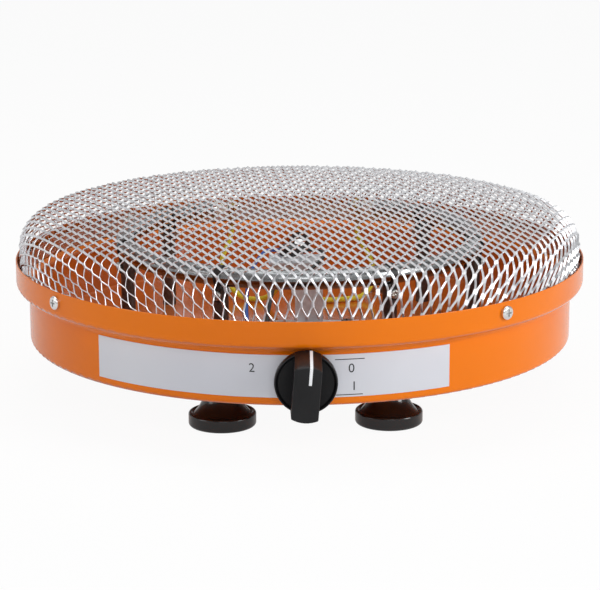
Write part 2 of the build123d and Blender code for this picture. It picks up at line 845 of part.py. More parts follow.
# Cord inlet: a bush in the rear wall
inlet_level = foot_height + inlet_height
inlet_inside = sqrt(wall_inside**2 - inlet_flange_radius**2) - running_gap
with BuildPart() as cord_inlet:
    with BuildSketch(outward(inlet_azimuth, wall_radius + running_gap, inlet_level)):
        Circle(inlet_flange_radius)
    extrude(amount=inlet_flange_sheet)
    fillet(cord_inlet.edges().sort_by(Axis.Y)[-1], inlet_flange_sheet / 2)
    with BuildSketch(outward(inlet_azimuth, wall_radius + running_gap, inlet_level)):
        Circle(inlet_neck_radius)
    extrude(amount=inlet_inside - wall_radius - running_gap)
    with BuildSketch(outward(inlet_azimuth, inlet_inside, inlet_level)):
        Circle(inlet_tail_radius)
    extrude(amount=-inlet_tail)
    with BuildSketch(outward(inlet_azimuth, rim_radius, inlet_level)):
        Circle(inlet_bore_radius)
    extrude(amount=inlet_inside - inlet_tail - rim_radius, mode=Mode.SUBTRACT)

# Leads: sleeved ones from the ring to the connector, plain ones to the switch
left_lug, right_lug = [
    mouth.offset(lug_start + lug_sheet / 2).origin - Vector(0, 0, lug_drop) for mouth in mouths
]
floor_sleeve = sheet + sleeve_radius + seat_gap
floor_lead = sheet + lead_radius + seat_gap
entry_left = connector_x - connector_pitch / 2
entry_right = connector_x + connector_pitch / 2
entry_back = connector_back - wire_entry + seat_gap
entry_front = connector_front + wire_entry - seat_gap
with BuildPart() as left_ring_lead:
    add(
        lead(
            [
                left_lug,
                left_lug - Vector(0, 0, 9),
                at(-54, 92, 25),
                at(-50, 84, 11),
                at(-38, 73, floor_sleeve),
                at(-25, 70, floor_sleeve),
                at(-15, 61, 11),
                at(entry_left, 53, 23),
                at(entry_left, 43, wire_level),
                at(entry_left, entry_back, wire_level),
            ],
            sleeve_radius,
        )
    )
with BuildPart() as right_ring_lead:
    add(
        lead(
            [
                right_lug,
                right_lug - Vector(0, 0, 9),
                at(49, 95, 25),
                at(51, 87, 12),
                at(43, 76, floor_sleeve),
                at(29, 70, floor_sleeve),
                at(14, 67, floor_sleeve),
                at(1, 60, 10),
                at(entry_right, 51, 22),
                at(entry_right, 43, wire_level),
                at(entry_right, entry_back, wire_level),
            ],
            sleeve_radius,
        )
    )
live_blade = outward(switch_azimuth, blade_tip - running_gap, switch_level)
heat_blade = Plane(live_blade.origin - sideways * blade_pitch, z_dir=live_blade.z_dir)
climb_y = climb_run - blade_tip
lift_y = lift_run - blade_tip
with BuildPart() as black_lead:
    add(
        lead(
            [
                at(entry_left, entry_front, wire_level),
                at(entry_left, 4, wire_level),
                at(-18, -7, 25),
                at(-21, -19, 12),
                at(-21, -36, floor_lead),
                at(-14, -60, floor_lead),
                at(-5, -84, floor_lead),
                at(1, lift_y, 6),
                at(3, climb_y, 14),
                live_blade.origin - live_blade.z_dir * plug_run,
                live_blade.origin,
            ],
            lead_radius,
        )
    )
with BuildPart() as blue_lead:
    add(
        lead(
            [
                at(cutout_x - cutout_radius, cutout_y, cutout_level),
                at(-22, cutout_y, cutout_level),
                at(-31, 16, 38),
                at(-34, 2, 26),
                at(-34, -16, 12),
                at(-31, -36, floor_lead),
                at(-25, -60, floor_lead),
                at(-17, -84, floor_lead),
                at(-9, lift_y, 6),
                at(-6, climb_y, 14),
                heat_blade.origin - heat_blade.z_dir * plug_run,
                heat_blade.origin,
            ],
            lead_radius,
        )
    )
with BuildPart() as cutout_link:
    add(
        lead(
            [
                at(entry_right, entry_front, wire_level),
                at(entry_right, 7, wire_level),
                at(-4, -4, 35),
                at(6, -7, 41),
                at(14, 2, 46),
                at(16, 12, cutout_level),
                at(15, 22, cutout_level),
                at(10, cutout_y, cutout_level),
                at(cutout_x + cutout_radius, cutout_y, cutout_level),
            ],
            lead_radius,
        )
    )

pieces = {
    "pan": pan,
    "guard": guard,
    "guard_screws": guard_screws,
    "guard_washers": guard_washers,
    "guard_nuts": guard_nuts,
    "guard_spacers": guard_spacers,
    "foot_bolts": foot_bolts,
    "foot_nuts": foot_nuts,
    "post_screws": post_screws,
    "clip_screws": clip_screws,
    "clip_nuts": clip_nuts,
    "ring_sheath": ring_sheath,
    "ring_filling": ring_filling,
    "heat_wire": heat_wire,
    "ring_seals": ring_seals,
    "ring_pins": ring_pins,
    "lead_lugs": lead_lugs,
    "pin_nuts": pin_nuts,
    "front_label": front_label,
    "rotary_switch": rotary_switch,
    "switch_nut": switch_nut,
    "switch_blades": switch_blades,
    "low_heat_diode": low_heat_diode,
    "switch_shaft": switch_shaft,
    "knob": knob,
    "pointer": pointer,
    "wiring_bracket": wiring_bracket,
    "bracket_screws": bracket_screws,
    "bracket_nuts": bracket_nuts,
    "earth_screw": earth_screw,
    "earth_nut": earth_nut,
    "connector": connector,
    "cutout_cap": cutout_cap,
    "thermal_cutout": thermal_cutout,
    "cord_inlet": cord_inlet,
    "left_ring_lead": left_ring_lead,
    "right_ring_lead": right_ring_lead,
    "black_lead": black_lead,
    "blue_lead": blue_lead,
    "cutout_link": cutout_link,
}
pieces.update({f"foot_{name}": foot for name, foot in feet.items()})
pieces.update({f"post_{name}": post for name, post in posts.items()})
pieces.update({f"clip_{name}": clip for name, clip in clips.items()})

os.makedirs("parts", exist_ok=True)
for name, piece in pieces.items():
    piece.part.label = name
    export_step(piece.part, f"parts/{name}.step")
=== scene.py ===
# %% [markdown]
# # A ring heater with an expanded-metal guard
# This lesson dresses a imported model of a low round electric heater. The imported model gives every
# piece its place and size. Here each surface gets its finish, and the pieces that are too fine
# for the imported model, such as the mesh of the guard, are made again around the same sizes.

# %% Load the frame
import json
import math

import bmesh
import bpy
from mathutils import Matrix, Vector


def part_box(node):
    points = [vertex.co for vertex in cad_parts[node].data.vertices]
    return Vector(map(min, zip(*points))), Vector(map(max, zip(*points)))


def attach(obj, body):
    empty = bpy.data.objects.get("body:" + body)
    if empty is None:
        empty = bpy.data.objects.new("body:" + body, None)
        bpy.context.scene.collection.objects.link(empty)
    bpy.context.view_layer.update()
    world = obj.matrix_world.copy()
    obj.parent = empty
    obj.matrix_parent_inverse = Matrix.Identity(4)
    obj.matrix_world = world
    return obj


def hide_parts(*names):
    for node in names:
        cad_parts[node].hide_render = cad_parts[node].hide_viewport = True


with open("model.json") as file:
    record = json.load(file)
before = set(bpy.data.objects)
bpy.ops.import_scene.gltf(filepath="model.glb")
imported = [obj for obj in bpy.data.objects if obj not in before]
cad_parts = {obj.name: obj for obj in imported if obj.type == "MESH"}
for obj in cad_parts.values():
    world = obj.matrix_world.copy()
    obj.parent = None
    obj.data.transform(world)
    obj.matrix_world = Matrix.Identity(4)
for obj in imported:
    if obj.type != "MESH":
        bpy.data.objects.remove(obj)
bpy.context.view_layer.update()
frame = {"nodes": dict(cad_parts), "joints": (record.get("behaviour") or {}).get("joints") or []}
nodes = frame["nodes"]
print("nodes in the frame:", len(nodes))

# %% [markdown]
# ## Sizes read from the frame
# The heater is a drum, so most sizes are radii about one upright axis. Reading them from the
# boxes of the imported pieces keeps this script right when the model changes.

# %% Main sizes
MM = 0.001
pan_low, pan_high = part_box("pan")
guard_low, guard_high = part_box("guard")
label_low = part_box("front_label")[0]
knob_low, knob_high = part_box("knob")
DRUM_Y = (pan_low.y + pan_high.y) / 2
RIM_RADIUS = (pan_high.x - pan_low.x) / 2
GUARD_RADIUS = (guard_high.x - guard_low.x) / 2
CROWN = guard_high.z
GUARD_FOOT = guard_low.z
SHEET = 1.0 * MM
COLLAR_STEP = 8.0 * MM
FLARE_RISE = 35.0 * MM
knob_joint = frame["joints"][0]
KNOB_AXIS = Vector(knob_joint["axis"])
KNOB_CENTRE = Vector(knob_joint["pos_m"])
print(f"rim radius {RIM_RADIUS:.4f}, guard radius {GUARD_RADIUS:.4f}, crown {CROWN:.4f}")

# %% [markdown]
# ## Expressions for node trees
# Shader and geometry maths is easier to read as Python than as a list of links. A small class
# wraps a socket and overloads the operators, so that `a * 2 + b` adds the Math nodes by itself.


# %% Sockets as values
class Value:
    """One output socket of a tree. Sums and products of it add Math nodes."""

    def __init__(self, tree, socket):
        self.tree = tree
        self.socket = socket

    def _math(self, operation, *inputs):
        sockets = dict(enumerate(inputs))
        return add_node(self.tree, "ShaderNodeMath", {"operation": operation}, sockets)

    def __add__(self, other):
        return self._math("ADD", self, other)

    __radd__ = __add__

    def __mul__(self, other):
        return self._math("MULTIPLY", self, other)

    __rmul__ = __mul__

    def __sub__(self, other):
        return self._math("SUBTRACT", self, other)

    def __rsub__(self, other):
        return self._math("SUBTRACT", other, self)

    def __truediv__(self, other):
        return self._math("DIVIDE", self, other)

    def __lt__(self, other):
        return self._math("LESS_THAN", self, other)

    def __gt__(self, other):
        return self._math("GREATER_THAN", self, other)

    def function(self, operation, other=0.0):
        return self._math(operation, self, other)

    def clamp(self, low, high):
        return self._math("MAXIMUM", self._math("MINIMUM", self, high), low)


def add_node(tree, kind, settings=None, inputs=None, output=0):
    """Adds a node, gives it its settings and then its sockets, and returns one output."""
    node = tree.nodes.new(kind)
    for name, setting in (settings or {}).items():
        if name == "ramp":
            ramp = node.color_ramp
            while len(ramp.elements) < len(setting):
                ramp.elements.new(1.0)
            for element, (place, colour) in zip(ramp.elements, setting):
                element.position = place
                element.color = (*colour, 1.0)
        else:
            setattr(node, name, setting)
    for key, given in (inputs or {}).items():
        socket = node.inputs[key]
        if isinstance(given, Value):
            tree.links.new(given.socket, socket)
        else:
            socket.default_value = given
    return Value(tree, node.outputs[output])


def parts_of(tree, vector):
    """The X, Y and Z of a vector."""
    split = tree.nodes.new("ShaderNodeSeparateXYZ")
    tree.links.new(vector.socket, split.inputs["Vector"])
    return [Value(tree, split.outputs[name]) for name in "XYZ"]


# %% [markdown]
# ## One way to write a finish
# Every finish here is a Principled shader. What is the same all over is set straight on its
# socket. What varies comes from noise in Object coordinates, so that it stays put when a body
# moves.


# %% Finish helpers
EVEN = (1.0, 1.0, 1.0)


def object_place(tree, scale=EVEN):
    """Object coordinates, stretched by a Mapping node."""
    place = add_node(tree, "ShaderNodeTexCoord", output="Object")
    return add_node(tree, "ShaderNodeMapping", {}, {"Vector": place, "Scale": scale})


def noise(tree, place, scale, detail=3.0, roughness=0.5):
    """Noise from 0 to 1 whose grain is about one metre divided by the scale."""
    return add_node(
        tree,
        "ShaderNodeTexNoise",
        {},
        {"Vector": place, "Scale": scale, "Detail": detail, "Roughness": roughness},
    )


def ramp(tree, factor, stops):
    """A colour that runs through stops of (place, colour)."""
    return add_node(tree, "ShaderNodeValToRGB", {"ramp": stops}, {"Fac": factor})


def bump(tree, height, distance):
    """A relief of some depth in metres, for the Normal socket."""
    return add_node(
        tree,
        "ShaderNodeBump",
        {},
        {"Height": height, "Distance": distance, "Strength": 1.0},
        output="Normal",
    )


def finish(name, build, **fixed):
    """Makes a material. build(tree) returns what varies, by socket name; fixed sets the rest."""
    material = bpy.data.materials.new(name)
    material.use_nodes = True
    tree = material.node_tree
    tree.nodes.clear()
    output = tree.nodes.new("ShaderNodeOutputMaterial")
    shader = tree.nodes.new("ShaderNodeBsdfPrincipled")
    tree.links.new(shader.outputs["BSDF"], output.inputs["Surface"])
    for socket, number in fixed.items():
        shader.inputs[socket.replace("_", " ")].default_value = number
    for socket, value in build(tree).items():
        tree.links.new(value.socket, shader.inputs[socket])
    return material


def dress(node_names, material):
    """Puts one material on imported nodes."""
    for node_name in node_names:
        mesh = nodes[node_name].data
        mesh.materials.clear()
        mesh.materials.append(material)


# %% [markdown]
# ## Enamel
# The pan is pressed sheet steel with stove enamel. Such enamel is glossy, with a faint orange
# peel that only shows in its reflections, and its colour drifts a little over the surface. The
# bump is kept a few hundredths of a millimetre high so that highlights stay clean. Inside the pan a
# mask from the radius and the height of each point picks a duller, browner colour as painted shade,
# under a clearer coat.

# %% Pan finish
ENAMEL_DEEP = (0.70, 0.150, 0.0006)
ENAMEL_LIGHT = (0.82, 0.190, 0.0010)
# Painted shade: darker, browner enamel colours for the inside of the pan.
PAINTED_SHADE_DEEP = (0.52, 0.110, 0.012)
PAINTED_SHADE_LIGHT = (0.64, 0.150, 0.016)
DRIFT_SCALE = 9.0
WAVE_SCALE = 45.0
PEEL_SCALE = 420.0
PEEL_SHARE = 0.25
ENAMEL_RELIEF = 0.12 * MM
ENAMEL_GLOSS = 0.14
GLOSS_SPREAD = 0.10
COAT_OUTSIDE = 0.06
COAT_GAIN_INSIDE = 0.55
COLLAR_MIDDLE = RIM_RADIUS - SHEET / 2
WALL_MIDDLE = COLLAR_MIDDLE - COLLAR_STEP
FLOOR_MIDDLE = pan_low.z + SHEET / 2
FLARE_MIDDLE = pan_low.z + FLARE_RISE + SHEET


def inside_of_pan(tree):
    """1 on the faces inside the pan, 0 on those outside."""
    place = add_node(tree, "ShaderNodeTexCoord", output="Object")
    x, y, z = parts_of(tree, place)
    y = y - DRUM_Y
    radius = (x * x + y * y).function("SQRT")
    in_wall = (radius < WALL_MIDDLE) * (z > FLOOR_MIDDLE)
    in_collar = (radius < COLLAR_MIDDLE) * (z > FLARE_MIDDLE)
    return in_wall.function("MAXIMUM", in_collar)


def mixed(tree, share, first, second):
    """A colour between two others, by a share from 0 to 1."""
    return add_node(
        tree,
        "ShaderNodeMix",
        {"data_type": "RGBA"},
        {0: share, 6: first, 7: second},
        output=2,
    )


def enamel_look(tree):
    place = object_place(tree)
    drift = noise(tree, place, DRIFT_SCALE, 2.0)
    peel = noise(tree, place, PEEL_SCALE, 2.0)
    waviness = noise(tree, place, WAVE_SCALE, 1.0)
    height = peel * PEEL_SHARE + waviness
    inside = inside_of_pan(tree)
    enamel_colour = ramp(tree, drift, [(0.25, ENAMEL_DEEP), (0.75, ENAMEL_LIGHT)])
    # Painted shade: the inside of the pan gets the darker, browner enamel colour.
    painted_shade = ramp(tree, drift, [(0.25, PAINTED_SHADE_DEEP), (0.75, PAINTED_SHADE_LIGHT)])
    return {
        "Base Color": mixed(tree, inside, enamel_colour, painted_shade),
        "Roughness": noise(tree, place, 30.0) * GLOSS_SPREAD + ENAMEL_GLOSS,
        "Coat Weight": inside * COAT_GAIN_INSIDE + COAT_OUTSIDE,
        "Normal": bump(tree, height, ENAMEL_RELIEF),
    }


enamel = finish("orange_enamel", enamel_look, Specular_IOR_Level=0.2, Coat_Roughness=0.06)
dress(["pan"], enamel)
print("pan finish:", enamel.name)

# %% [markdown]
# ## Plastics and ceramics
# The feet are glossy, the knob is satin and the bush is dull rubber. They differ in colour, in
# roughness and in the fine grain of the mould, so one recipe and a table of numbers make them
# all. A row holds the darker and the lighter colour, the roughness, the grain's scale, the
# grain's depth in millimetres and the level of the mirror shine.

# %% Plastic recipe
SHADE_SCALE = 60.0
HAZE_SCALE = 120.0
HAZE_SPREAD = 0.08


def plastic(name, dark, light, roughness, grain, depth, shine):
    """A moulded or fired material from one row of the table."""

    def look(tree):
        place = object_place(tree)
        cloud = noise(tree, place, SHADE_SCALE, 3.0)
        return {
            "Base Color": ramp(tree, cloud, [(0.3, dark), (0.7, light)]),
            "Roughness": noise(tree, place, HAZE_SCALE) * HAZE_SPREAD + roughness,
            "Normal": bump(tree, noise(tree, place, grain, 3.0), depth * MM),
        }

    return finish(name, look, Specular_IOR_Level=shine)


# %% Table of plastics
PLASTICS = {
    "glossy_black_foot": ((0.004, 0.004, 0.0045), (0.010, 0.010, 0.011), 0.10, 90.0, 0.12, 0.5),
    "satin_black_knob": ((0.006, 0.006, 0.007), (0.011, 0.011, 0.012), 0.30, 1500.0, 0.02, 0.22),
    "switch_moulding": ((0.02, 0.02, 0.02), (0.035, 0.035, 0.035), 0.40, 1800.0, 0.03, 0.5),
    "phenolic_black": ((0.012, 0.012, 0.013), (0.03, 0.028, 0.027), 0.35, 900.0, 0.04, 0.5),
    "rubber_bush": ((0.012, 0.012, 0.012), (0.022, 0.022, 0.022), 0.60, 1200.0, 0.05, 0.5),
    "black_insulation": ((0.010, 0.010, 0.010), (0.018, 0.018, 0.018), 0.38, 900.0, 0.03, 0.5),
    "blue_insulation": ((0.012, 0.07, 0.34), (0.02, 0.11, 0.46), 0.36, 900.0, 0.03, 0.5),
    "pointer_white": ((0.74, 0.76, 0.79), (0.84, 0.85, 0.87), 0.42, 1800.0, 0.02, 0.5),
    "glazed_ceramic": ((0.66, 0.63, 0.55), (0.78, 0.75, 0.68), 0.20, 250.0, 0.06, 0.5),
    "pressed_powder": ((0.55, 0.52, 0.48), (0.70, 0.68, 0.63), 0.80, 2500.0, 0.10, 0.5),
    "printing_ink": ((0.02, 0.02, 0.024), (0.03, 0.03, 0.034), 0.45, 2000.0, 0.01, 0.5),
}
plastics = {name: plastic(name, *row) for name, row in PLASTICS.items()}
FOOT_CORNERS = ("left_rear", "left_front", "right_front", "right_rear")
PLASTIC_NODES = {
    "glossy_black_foot": [f"foot_{corner}" for corner in FOOT_CORNERS],
    "switch_moulding": ["rotary_switch", "low_heat_diode"],
    "phenolic_black": ["thermal_cutout"],
    "rubber_bush": ["cord_inlet"],
    "black_insulation": ["black_lead", "cutout_link"],
    "blue_insulation": ["blue_lead"],
    "glazed_ceramic": ["connector", "ring_seals"],
    "pressed_powder": ["ring_filling"],
}
for name, node_names in PLASTIC_NODES.items():
    dress(node_names, plastics[name])
print("plastics:", len(plastics))

# %% [markdown]
# ## Metals
# Plated screws, a polished sheath, galvanised sheet and dark painted posts are all metal. A
# metal's look is mostly its roughness, so each gets noise in its roughness, and the drawn sheath
# gets noise that is stretched into streaks. A row holds the darker and the lighter colour, the
# roughness, how far the roughness spreads, the scale of the noise and the share of bare metal
# under paint or scale.

# %% Metal recipe
GRAIN_DEPTH = 0.03 * MM
SHEATH_STRETCH = (1.0, 1.0, 6.0)
FINER = 1.7


def metal(
    name, dark, light, roughness, spread, scale, metallic, stretch=EVEN, depth=GRAIN_DEPTH
):
    """A metal from one row of the table."""

    def look(tree):
        place = object_place(tree, stretch)
        cloud = noise(tree, place, scale, 4.0, 0.6)
        return {
            "Base Color": ramp(tree, cloud, [(0.3, dark), (0.7, light)]),
            "Roughness": noise(tree, place, scale * FINER, 3.0) * spread + roughness,
            "Normal": bump(tree, cloud, depth),
        }

    return finish(name, look, Metallic=metallic)


# %% Table of metals
METALS = {
    "bright_plating": ((0.62, 0.62, 0.62), (0.78, 0.78, 0.77), 0.10, 0.12, 300.0, 1.0),
    "zinc_plating": ((0.42, 0.42, 0.40), (0.62, 0.61, 0.58), 0.26, 0.20, 350.0, 1.0),
    "polished_sheath": (
        (0.20, 0.21, 0.21),
        (0.32, 0.33, 0.34),
        0.14,
        0.10,
        260.0,
        1.0,
        SHEATH_STRETCH,
    ),
    "galvanised_sheet": ((0.50, 0.52, 0.54), (0.74, 0.76, 0.79), 0.30, 0.20, 160.0, 0.45),
    "brass": ((0.50, 0.34, 0.11), (0.66, 0.48, 0.19), 0.25, 0.15, 300.0, 1.0),
    "dark_post": ((0.085, 0.075, 0.068), (0.16, 0.145, 0.13), 0.22, 0.20, 400.0, 0.85),
    "black_clip": ((0.012, 0.011, 0.011), (0.030, 0.028, 0.027), 0.30, 0.20, 500.0, 0.4),
}
metals = {name: metal(name, *row) for name, row in METALS.items()}
RING_STATIONS = (
    "left_rear",
    "left_side",
    "left_front",
    "right_front",
    "right_side",
    "right_rear",
)
METAL_NODES = {
    "bright_plating": ["guard_screws"],
    "zinc_plating": [
        "guard_washers",
        "guard_nuts",
        "guard_spacers",
        "foot_bolts",
        "foot_nuts",
        "post_screws",
        "clip_screws",
        "clip_nuts",
        "pin_nuts",
        "switch_nut",
        "switch_shaft",
        "earth_nut",
    ],
    "polished_sheath": ["ring_sheath", "ring_pins", "heat_wire"],
    "galvanised_sheet": ["wiring_bracket", "cutout_cap"],
    "brass": ["lead_lugs", "switch_blades", "earth_screw"],
    "dark_post": ["bracket_screws", "bracket_nuts", *(f"post_{at}" for at in RING_STATIONS)],
    "black_clip": [f"clip_{at}" for at in RING_STATIONS],
}
for name, node_names in METAL_NODES.items():
    dress(node_names, metals[name])
print("metals:", len(metals))

# %% [markdown]
# ## Woven sleeves
# The two leads of the ring run in sleeves of woven glass, yellow and slightly fuzzy. The weave is
# fine against the sleeve's width, so two crossed waves in Object coordinates stand for it.

# %% Sleeve finish
WEAVE_SCALE = 420.0
WEAVE_DEPTH = 0.1 * MM
YARN_SHADE = (0.62, 0.50, 0.01)
YARN_TOP = (0.90, 0.76, 0.03)


def sleeve_look(tree):
    place = object_place(tree)
    waves = []
    for turn in (1.0, -1.0):
        crossed = {"Vector": place, "Scale": (turn, 1.0, 1.0)}
        yarns = {
            "Vector": add_node(tree, "ShaderNodeMapping", {}, crossed),
            "Scale": WEAVE_SCALE,
        }
        way = {"bands_direction": "DIAGONAL"}
        waves.append(add_node(tree, "ShaderNodeTexWave", way, yarns, output="Fac"))
    weave = waves[0] * 0.5 + waves[1] * 0.5
    return {
        "Base Color": ramp(tree, weave, [(0.2, YARN_SHADE), (0.8, YARN_TOP)]),
        "Normal": bump(tree, weave, WEAVE_DEPTH),
    }


sleeve_yellow = finish("woven_yellow_sleeve", sleeve_look, Roughness=0.7, Sheen_Weight=0.2)
dress(["left_ring_lead", "right_ring_lead"], sleeve_yellow)
print("sleeve finish:", sleeve_yellow.name)

# %% [markdown]
# ## Label
# A satin white strip is stuck on the wall. It is a vinyl film, so its surface is smooth with a
# very fine tooth, and its white is slightly blue.

# %% Label finish
VINYL_SHADE = (0.58, 0.60, 0.66)
VINYL_LIGHT = (0.63, 0.65, 0.70)
VINYL_TOOTH = 0.01 * MM
TOOTH_SCALE = 900.0
VINYL_GLOSS = 0.28


def vinyl_look(tree):
    place = object_place(tree)
    cloud = noise(tree, place, 12.0)
    return {
        "Base Color": ramp(tree, cloud, [(0.3, VINYL_SHADE), (0.7, VINYL_LIGHT)]),
        "Roughness": noise(tree, place, SHADE_SCALE) * HAZE_SPREAD + VINYL_GLOSS,
        "Normal": bump(tree, noise(tree, place, TOOTH_SCALE, 2.0), VINYL_TOOTH),
    }


vinyl = finish("white_vinyl", vinyl_look)
dress(["front_label"], vinyl)
print("label finish:", vinyl.name)

# %% [markdown]
# ## Expanded metal
# The guard starts as a flat sheet that is slit and pulled open. Each slit becomes a diamond, and
# the strands between them twist by about 45 degrees, all the same way. That is why one set of
# strands looks wide and the other thin from the front. A press then draws the sheet down over a
# former.
#
# The same steps are followed here. One pair of strands is modelled, Geometry Nodes puts a
# copy at every joint of the sheet, and one formula bends the flat sheet over the former's
# profile: a shallow bow, a round shoulder and a straight side. Because the formula keeps lengths
# along the profile, the diamonds at the front stand tall and narrow and those at the sides lie
# down, as they do on the real guard.

# %% One pair of strands
SHORT_WAY = 7.0 * MM
LONG_WAY = 16.8 * MM
STRAND_WIDTH = 1.3 * MM
STRAND_THICKNESS = 0.5 * MM
STRAND_TWIST = math.radians(46)
BOND_HALF = 1.5 * MM
BOND_LAP = 0.15 * MM
SQUARE = ((-1, -1), (1, -1), (1, 1), (-1, 1))


def strand_pair():
    """Two strands from one joint of the sheet, one up and left and the other up and right."""
    across = Vector((math.cos(STRAND_TWIST), 0, math.sin(STRAND_TWIST)))
    normal = Vector((-math.sin(STRAND_TWIST), 0, math.cos(STRAND_TWIST)))
    half_width = across * (STRAND_WIDTH / 2)
    half_thickness = normal * (STRAND_THICKNESS / 2)
    lap = Vector((0, BOND_LAP, 0))
    mesh = bmesh.new()
    for side in (-1, 1):
        start = half_width * side
        end = Vector((side * SHORT_WAY / 2, LONG_WAY / 2, 0)) - start
        rise = LONG_WAY / 2
        stations = [
            start - lap,
            start + Vector((0, BOND_HALF, 0)),
            (start + end) / 2,
            Vector((end.x, rise - BOND_HALF, end.z)),
            end + lap,
        ]
        rings = [
            [mesh.verts.new(station + half_width * a + half_thickness * b) for a, b in SQUARE]
            for station in stations
        ]
        for lower, upper in zip(rings, rings[1:]):
            for i in range(4):
                mesh.faces.new((lower[i], lower[(i + 1) % 4], upper[(i + 1) % 4], upper[i]))
        mesh.faces.new(rings[0][::-1])
        mesh.faces.new(rings[-1])
    bmesh.ops.recalc_face_normals(mesh, faces=mesh.faces[:])
    data = bpy.data.meshes.new("strand_pair")
    mesh.to_mesh(data)
    mesh.free()
    obj = bpy.data.objects.new("strand_pair", data)
    bpy.context.scene.collection.objects.link(obj)
    return obj


pair = strand_pair()
print("faces in one pair of strands:", len(pair.data.polygons))

# %% [markdown]
# ### The former's profile
# A point of the flat sheet lies at some distance from the middle. That distance is also the
# length walked along the profile, so three ranges of it are enough: the bow, the shoulder and the
# side.

# %% Sizes of the former
SHOULDER = 16.0 * MM
BOW_RADIUS = 2.2
BOW_SAG = (GUARD_RADIUS - SHOULDER) ** 2 / (2 * BOW_RADIUS)
MESH_REACH = 1.15 * MM
HEM_LAP = 3.0 * MM
FORMER_RADIUS = GUARD_RADIUS - MESH_REACH
FORMER_CROWN = CROWN - MESH_REACH
FLAT_REACH = FORMER_RADIUS - SHOULDER
SHOULDER_RUN = SHOULDER * math.pi / 2
SHOULDER_LEVEL = FORMER_CROWN - BOW_SAG - SHOULDER
SIDE_RUN = SHOULDER_LEVEL - (GUARD_FOOT + HEM_LAP)
SHEET_RADIUS = FLAT_REACH + SHOULDER_RUN + SIDE_RUN
print(f"flat sheet radius {SHEET_RADIUS:.4f}")

# %% [markdown]
# ### The tree
# The tree lays two grids of points, half a mesh apart, drops the points outside the sheet, puts
# the pair of strands on each point, turns the sheet a few degrees, as it happened to lie in the
# press, and bends the result. The press also crumples the sheet a little where the slits run
# slantwise to the rim, which a slow noise near the shoulder stands for.

# %% Numbers of the guard tree
SHEET_TURN = math.radians(4.5)
EDGE_MARGIN = 0.35
CRUMPLE = 1.2 * MM
CRUMPLE_SCALE = 55.0
CRUMPLE_START = 0.93
CRUMPLE_RUN = 0.12
CRUMPLE_AT_SLANT = 2.4
CRUMPLE_ELSEWHERE = 0.22

# %% Joints of the sheet


def sheet_joints(tree, short, long, sheet):
    """Two grids of points, half a mesh apart, without the points outside the sheet."""
    columns = 2 * math.ceil(SHEET_RADIUS / SHORT_WAY) + 1
    rows = 2 * math.ceil(SHEET_RADIUS / LONG_WAY) + 1
    join = tree.nodes.new("GeometryNodeJoinGeometry")
    for shift in (0.0, 0.5):
        counts = {
            "Size X": short * (columns - 1),
            "Size Y": long * (rows - 1),
            "Vertices X": columns,
            "Vertices Y": rows,
        }
        grid = add_node(tree, "GeometryNodeMeshGrid", {}, counts)
        half_mesh = {"X": short * shift, "Y": long * shift}
        offset = add_node(tree, "ShaderNodeCombineXYZ", {}, half_mesh)
        moved = add_node(
            tree, "GeometryNodeTransform", {}, {"Geometry": grid, "Translation": offset}
        )
        tree.links.new(moved.socket, join.inputs["Geometry"])
    place = add_node(tree, "GeometryNodeInputPosition")
    distance = add_node(
        tree, "ShaderNodeVectorMath", {"operation": "LENGTH"}, {0: place}, output="Value"
    )
    outside = distance > sheet - long * EDGE_MARGIN
    grids = {"Geometry": Value(tree, join.outputs[0]), "Selection": outside}
    kept = add_node(tree, "GeometryNodeDeleteGeometry", {}, grids)
    return add_node(tree, "GeometryNodeMeshToPoints", {}, {"Mesh": kept})


# %% Drape over the former


def draped_place(tree, flat, shoulder, crown, sag, crumple):
    """Where a point of the flat sheet lies once it is pressed over the former."""
    place = add_node(tree, "GeometryNodeInputPosition")
    x, y, z = parts_of(tree, place)
    walked = (x * x + y * y).function("SQRT") + 1e-6
    wrinkle = noise(tree, place, CRUMPLE_SCALE, 2.0)
    slant = (x * y).function("ABSOLUTE") / (walked * walked)
    near_rim = ((walked - flat * CRUMPLE_START) / (flat * CRUMPLE_RUN)).clamp(0.0, 1.0)
    amount = near_rim * slant * CRUMPLE_AT_SLANT + CRUMPLE_ELSEWHERE
    lift = z + (wrinkle - 0.5) * crumple * amount
    bow_part = walked.function("MINIMUM", flat)
    bend = ((walked - flat) / shoulder).clamp(0.0, math.pi / 2)
    side = (walked - flat - shoulder * (math.pi / 2)).function("MAXIMUM", 0.0)
    reach = bow_part + (shoulder + lift) * bend.function("SINE")
    bow_drop = sag * (bow_part / flat) * (bow_part / flat)
    drop = bow_drop + (shoulder + lift) * (1.0 - bend.function("COSINE")) + side
    draped = {
        "X": x / walked * reach,
        "Y": y / walked * reach + DRUM_Y,
        "Z": crown - drop + lift,
    }
    return add_node(tree, "ShaderNodeCombineXYZ", {}, draped)


# %% Guard tree
GUARD_SIZES = {
    "Short Way": SHORT_WAY,
    "Long Way": LONG_WAY,
    "Sheet Radius": SHEET_RADIUS,
    "Flat Reach": FLAT_REACH,
    "Shoulder": SHOULDER,
    "Crown": FORMER_CROWN,
    "Bow Sag": BOW_SAG,
    "Crumple": CRUMPLE,
    "Turn": SHEET_TURN,
}


